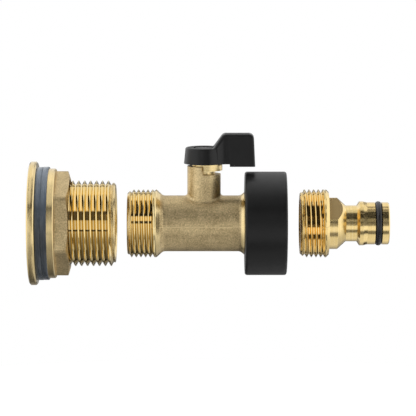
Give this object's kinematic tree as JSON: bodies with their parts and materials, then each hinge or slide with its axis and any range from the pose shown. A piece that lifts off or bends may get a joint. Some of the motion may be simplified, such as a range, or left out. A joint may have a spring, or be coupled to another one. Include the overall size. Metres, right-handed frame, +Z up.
{
  "type": "water butt tap",
  "caption": "Brass lever ball valve shown with its flanged tank connector and push-on hose connector drawn apart along one axis; screws together through the wall of a water butt.",
  "frame": {"origin": "on the tap's axis, where the butt's wall is clamped between the two seals", "axes": "+X along the axis, the way the water runs out; +Z up, along the valve's stem"},
  "size_m": [0.1391, 0.048, 0.0591],
  "materials": {
    "turned_brass": "turned, bright",
    "forged_brass": "forged, shot-blasted, matt",
    "polished_brass": "turned and polished",
    "seal_rubber": "matt, blue-grey black",
    "ring_rubber": "satin black",
    "black_plastic": "satin black",
    "white_plastic": "waxy white",
    "ball_chrome": "polished",
    "screw_steel": "zinc plated"
  },
  "bodies": {
    "tank_connector": {"flanged_tail": "turned_brass", "inner_seal": "seal_rubber"},
    "clamp_seal": {"outer_seal": "seal_rubber"},
    "clamp_nut": {"flange_nut": "forged_brass"},
    "valve": {"valve_body": "forged_brass", "inlet_seat": "white_plastic", "outlet_seat": "white_plastic", "outlet_tail": "turned_brass", "thrust_washer": "white_plastic"},
    "lever": {"ball": "ball_chrome", "stem": "turned_brass", "stem_o_ring_lower": "ring_rubber", "stem_o_ring_upper": "ring_rubber", "stop_plate": "turned_brass", "lever_handle": "black_plastic", "handle_screw": "screw_steel"},
    "collar": {"swivel_nut": "turned_brass", "collar_grip": "black_plastic", "hose_washer": "ring_rubber"},
    "connector": {"hose_connector": "polished_brass", "connector_o_ring": "ring_rubber"}
  },
  "joints": [
    {"name": "seal_slide", "type": "slide", "parent": "tank_connector", "child": "clamp_seal", "axis": [1, 0, 0], "range_m": [0, 0.01155]},
    {"name": "nut_turn", "type": "hinge", "parent": "clamp_seal", "child": "clamp_nut", "pos_m": [0, 0, 0], "axis": [1, 0, 0], "range_deg": [0, 1800]},
    {"name": "valve_draw_in", "type": "slide", "parent": "tank_connector", "child": "valve", "axis": [-1, 0, 0], "range_m": [0, 0.0142]},
    {"name": "lever_turn", "type": "hinge", "parent": "valve", "child": "lever", "pos_m": [0.06225, 0, 0], "axis": [0, 0, 1], "range_deg": [0, 90]},
    {"name": "collar_swivel", "type": "hinge", "parent": "valve", "child": "collar", "pos_m": [0.06225, 0, 0], "axis": [1, 0, 0], "continuous": true},
    {"name": "connector_draw_in", "type": "slide", "parent": "valve", "child": "connector", "axis": [-1, 0, 0], "range_m": [0, 0.0134]}
  ],
  "couplings": [
    {"joint": "seal_slide", "follows": "nut_turn", "m_per_rad": 0.00036749}
  ]
}
